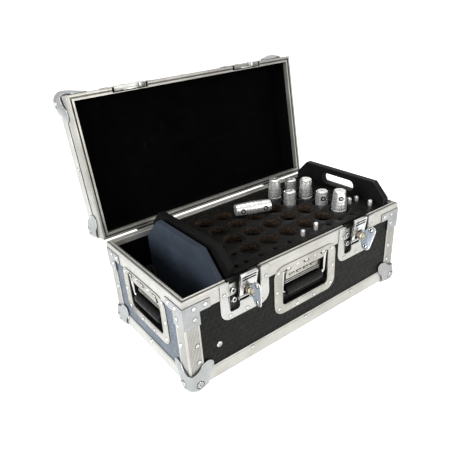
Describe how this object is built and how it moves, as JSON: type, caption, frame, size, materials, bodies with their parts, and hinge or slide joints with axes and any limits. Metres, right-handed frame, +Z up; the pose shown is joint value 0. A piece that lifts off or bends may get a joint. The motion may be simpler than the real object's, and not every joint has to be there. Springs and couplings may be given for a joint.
{
  "type": "truss accessory case",
  "caption": "Flight case with its hinged lid open: a lift-out perforated tray that holds conical truss couplers, a side compartment, recessed latches and handles.",
  "frame": {"origin": "middle of the bottom panel's underside", "axes": "+X to the right along the front, +Y to the back, +Z up"},
  "size_m": [0.6198, 0.4838, 0.5195],
  "materials": {
    "edging": "satin anodised",
    "laminate": "embossed charcoal laminate on plywood",
    "corner_metal": "zinc plated",
    "pressed_steel": "zinc plated",
    "zinc_plate": "bright zinc plated sheet",
    "latch_metal": "bright zinc plated",
    "bail_wire": "bright plated wire",
    "grip_rubber": "matt moulded rubber",
    "divider_board": "speckled laminate on plywood",
    "tray_laminate": "matt laminate on plywood",
    "tray_board": "matt laminate on plywood, edges worn",
    "turned_aluminium": "bright turned"
  },
  "bodies": {
    "case": {"base_back_panel": "laminate", "base_ball_corner_front_left": "corner_metal", "base_ball_corner_front_right": "corner_metal", "base_ball_corner_rear_left": "corner_metal", "base_ball_corner_rear_right": "corner_metal", "base_bottom_panel": "laminate", "base_edging": "edging", "base_front_panel": "laminate", "base_left_panel": "laminate", "base_right_panel": "laminate", "base_rim": "edging", "compartment_divider": "divider_board", "divider_bracket_front": "pressed_steel", "divider_bracket_rear": "pressed_steel", "handle_front_dish": "zinc_plate", "handle_left_dish": "zinc_plate", "handle_right_dish": "zinc_plate", "hinge_left_case_leaf": "zinc_plate", "hinge_right_case_leaf": "zinc_plate", "latch_left_dish": "zinc_plate", "latch_right_dish": "zinc_plate", "rim_brace_front_left": "pressed_steel", "rim_brace_front_right": "pressed_steel", "rim_brace_rear_left": "pressed_steel", "rim_brace_rear_right": "pressed_steel"},
    "lid": {"lid_ball_corner_front_left": "corner_metal", "lid_ball_corner_front_right": "corner_metal", "lid_ball_corner_rear_left": "corner_metal", "lid_ball_corner_rear_right": "corner_metal", "lid_edging": "edging", "lid_rim": "edging", "lid_top_panel": "laminate", "lid_wall_frame": "laminate", "hinge_left_lid_leaf": "zinc_plate", "hinge_right_lid_leaf": "zinc_plate", "latch_left_keeper": "zinc_plate", "latch_right_keeper": "zinc_plate"},
    "latch_left_hook": {"latch_left_hook_frame": "latch_metal"},
    "latch_left_rotor": {"latch_left_rotor": "latch_metal"},
    "latch_left_wing": {"latch_left_wing": "latch_metal"},
    "latch_right_hook": {"latch_right_hook_frame": "latch_metal"},
    "latch_right_rotor": {"latch_right_rotor": "latch_metal"},
    "latch_right_wing": {"latch_right_wing": "latch_metal"},
    "handle_front": {"handle_front_bail": "bail_wire", "handle_front_grip": "grip_rubber"},
    "handle_left": {"handle_left_bail": "bail_wire", "handle_left_grip": "grip_rubber"},
    "handle_right": {"handle_right_bail": "bail_wire", "handle_right_grip": "grip_rubber"},
    "tray": {"lying_coupler": "turned_aluminium", "standing_coupler_1": "turned_aluminium", "standing_coupler_2": "turned_aluminium", "standing_coupler_3": "turned_aluminium", "standing_coupler_4": "turned_aluminium", "standing_coupler_5": "turned_aluminium", "standing_coupler_6": "turned_aluminium", "tray_left_board": "tray_board", "tray_plate": "tray_laminate", "tray_right_board": "tray_board", "tray_shelf": "tray_laminate"}
  },
  "joints": [
    {"name": "lid_hinge", "type": "hinge", "parent": "case", "child": "lid", "pos_m": [0, 0.1591, 0.1955], "axis": [1, 0, 0], "range_deg": [0, 98.3]},
    {"name": "latch_left_turn", "type": "hinge", "parent": "case", "child": "latch_left_rotor", "pos_m": [-0.1555, -0.155, 0.1667], "axis": [0, 1, 0], "range_deg": [0, 90]},
    {"name": "latch_left_hook_swing", "type": "hinge", "parent": "case", "child": "latch_left_hook", "pos_m": [-0.1555, -0.153, 0.1542], "axis": [-1, 0, 0], "range_deg": [0, 12]},
    {"name": "latch_left_fold", "type": "hinge", "parent": "latch_left_rotor", "child": "latch_left_wing", "pos_m": [-0.1555, -0.1656, 0.1667], "axis": [0, 0, 1], "range_deg": [0, 90]},
    {"name": "latch_right_turn", "type": "hinge", "parent": "case", "child": "latch_right_rotor", "pos_m": [0.1615, -0.155, 0.1667], "axis": [0, 1, 0], "range_deg": [-27, 63]},
    {"name": "latch_right_hook_swing", "type": "hinge", "parent": "case", "child": "latch_right_hook", "pos_m": [0.1615, -0.153, 0.1542], "axis": [-1, 0, 0], "range_deg": [-3.6, 8.4]},
    {"name": "latch_right_fold", "type": "hinge", "parent": "latch_right_rotor", "child": "latch_right_wing", "pos_m": [0.1615, -0.1656, 0.1667], "axis": [0.454, 0, 0.891], "range_deg": [0, 90]},
    {"name": "handle_front_swing", "type": "hinge", "parent": "case", "child": "handle_front", "pos_m": [0, -0.1494, 0.1597], "axis": [-1, 0, 0], "range_deg": [0, 85]},
    {"name": "handle_left_swing", "type": "hinge", "parent": "case", "child": "handle_left", "pos_m": [-0.2944, 0, 0.1552], "axis": [0, 1, 0], "range_deg": [0, 85]},
    {"name": "handle_right_swing", "type": "hinge", "parent": "case", "child": "handle_right", "pos_m": [0.2944, 0, 0.1552], "axis": [0, -1, 0], "range_deg": [0, 85]},
    {"name": "tray_lift", "type": "slide", "parent": "case", "child": "tray", "axis": [0, 0, -1], "range_m": [-0.26, 0]}
  ],
  "couplings": [
    {"joint": "latch_left_hook_swing", "follows": "latch_left_turn", "ratio": 0.1333},
    {"joint": "latch_right_hook_swing", "follows": "latch_right_turn", "ratio": 0.1333}
  ]
}
